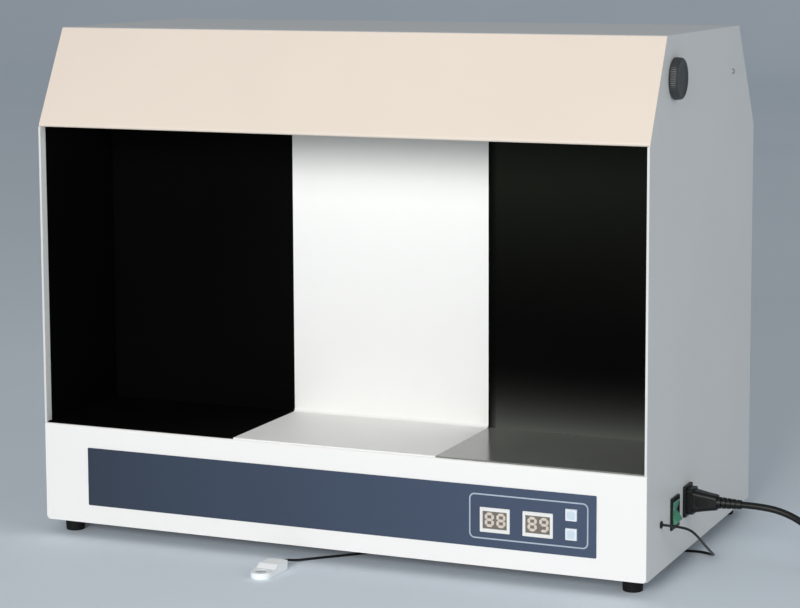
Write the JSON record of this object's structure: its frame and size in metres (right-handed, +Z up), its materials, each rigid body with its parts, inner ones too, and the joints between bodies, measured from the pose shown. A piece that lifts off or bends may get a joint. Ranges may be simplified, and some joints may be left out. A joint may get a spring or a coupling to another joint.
{
  "type": "light inspection cabinet",
  "caption": "Bench cabinet open at the front, with a hidden lamp, black and white backgrounds, a display strip, a dimmer knob, a rocker switch, a probe on a lead and a mains cord.",
  "frame": {"origin": "on the bench, under the middle of the casing's footprint", "axes": "+X to the right seen from the front, +Y from the front to the back, +Z up"},
  "size_m": [0.9588, 0.4716, 0.547],
  "materials": {
    "casing_paint": "satin powder coat",
    "zinc_steel": "zinc plated, dull",
    "screw_steel": "bright plated",
    "foot_rubber": "matt",
    "strip_print": "printed film, matt",
    "white_board": "matt",
    "black_board": "matt",
    "black_gloss": "polished",
    "reflector_paint": "gloss white",
    "tube_glass": "white phosphor coat inside",
    "cap_aluminium": "brushed",
    "white_plastic": "satin",
    "circuit_board": "solder resist",
    "transformer_core": "varnished",
    "display_face": "filter window",
    "key_plastic": "satin",
    "black_plastic": "fine grain",
    "knob_plastic": "satin",
    "rocker_green": "polished, translucent",
    "contact_brass": "bright",
    "cord_vinyl": "satin",
    "wire_insulation": "satin",
    "probe_shell": "satin",
    "window_diffuser": "milky"
  },
  "bodies": {
    "housing": {"right_side_panel": "casing_paint", "left_side_panel": "casing_paint", "top_cover": "casing_paint", "front_panel": "casing_paint", "rear_panel": "casing_paint", "base_tray": "zinc_steel", "rear_panel_screws": "screw_steel", "side_cover_screws": "screw_steel", "rubber_feet": "foot_rubber", "foot_screws": "screw_steel", "control_strip": "strip_print", "chamber_floor_pan": "zinc_steel", "chamber_back_wall": "zinc_steel", "white_backboard": "white_board", "left_black_board": "black_board", "side_wall_linings": "black_board", "right_back_plate": "black_gloss", "glossy_floor_plate": "black_gloss", "lamp_reflector": "reflector_paint", "reflector_end_plates": "reflector_paint", "lamp_tube": "tube_glass", "lamp_end_caps": "cap_aluminium", "lamp_holders": "white_plastic", "ballast_case": "zinc_steel", "ballast_terminals": "white_plastic", "power_board": "circuit_board", "transformer": "transformer_core", "terminal_block": "white_plastic", "display_board": "circuit_board", "board_spacers": "white_plastic", "display_bezels": "white_plastic", "display_modules": "display_face", "key_switches": "black_plastic", "buzzer": "black_plastic", "potentiometer_body": "zinc_steel", "potentiometer_nut": "screw_steel", "switch_housing": "black_plastic", "switch_terminals": "contact_brass", "inlet_socket": "black_plastic", "inlet_pins": "contact_brass", "mains_connector": "cord_vinyl", "connector_strain_relief": "cord_vinyl", "inner_wiring": "wire_insulation", "mains_cord": "cord_vinyl", "mains_cord_coil": "cord_vinyl", "cord_tie": "black_plastic", "plug_strain_relief": "cord_vinyl", "mains_plug": "cord_vinyl", "plug_pins": "contact_brass", "probe_lower_shell": "probe_shell", "probe_upper_shell": "probe_shell", "probe_window": "window_diffuser", "probe_grommet": "black_plastic", "probe_lead": "cord_vinyl"},
    "power_rocker": {"power_rocker": "rocker_green"},
    "dimmer": {"dimmer_knob": "knob_plastic", "knob_set_screw": "screw_steel", "dimmer_shaft": "cap_aluminium"},
    "upper_key": {"upper_key": "key_plastic"},
    "lower_key": {"lower_key": "key_plastic"}
  },
  "joints": [
    {"name": "rocker_tilt", "type": "hinge", "parent": "housing", "child": "power_rocker", "pos_m": [0.3365, -0.0985, 0.065], "axis": [0, 1, 0], "range_deg": [0, 18]},
    {"name": "dimmer_turn", "type": "hinge", "parent": "housing", "child": "dimmer", "pos_m": [0.34, -0.113, 0.504], "axis": [1, 0, 0], "range_deg": [-135, 135]},
    {"name": "upper_key_press", "type": "slide", "parent": "housing", "child": "upper_key", "axis": [0, 1, 0], "range_m": [0, 0.001], "stiffness_N_per_m": 500},
    {"name": "lower_key_press", "type": "slide", "parent": "housing", "child": "lower_key", "axis": [0, 1, 0], "range_m": [0, 0.001], "stiffness_N_per_m": 500}
  ]
}
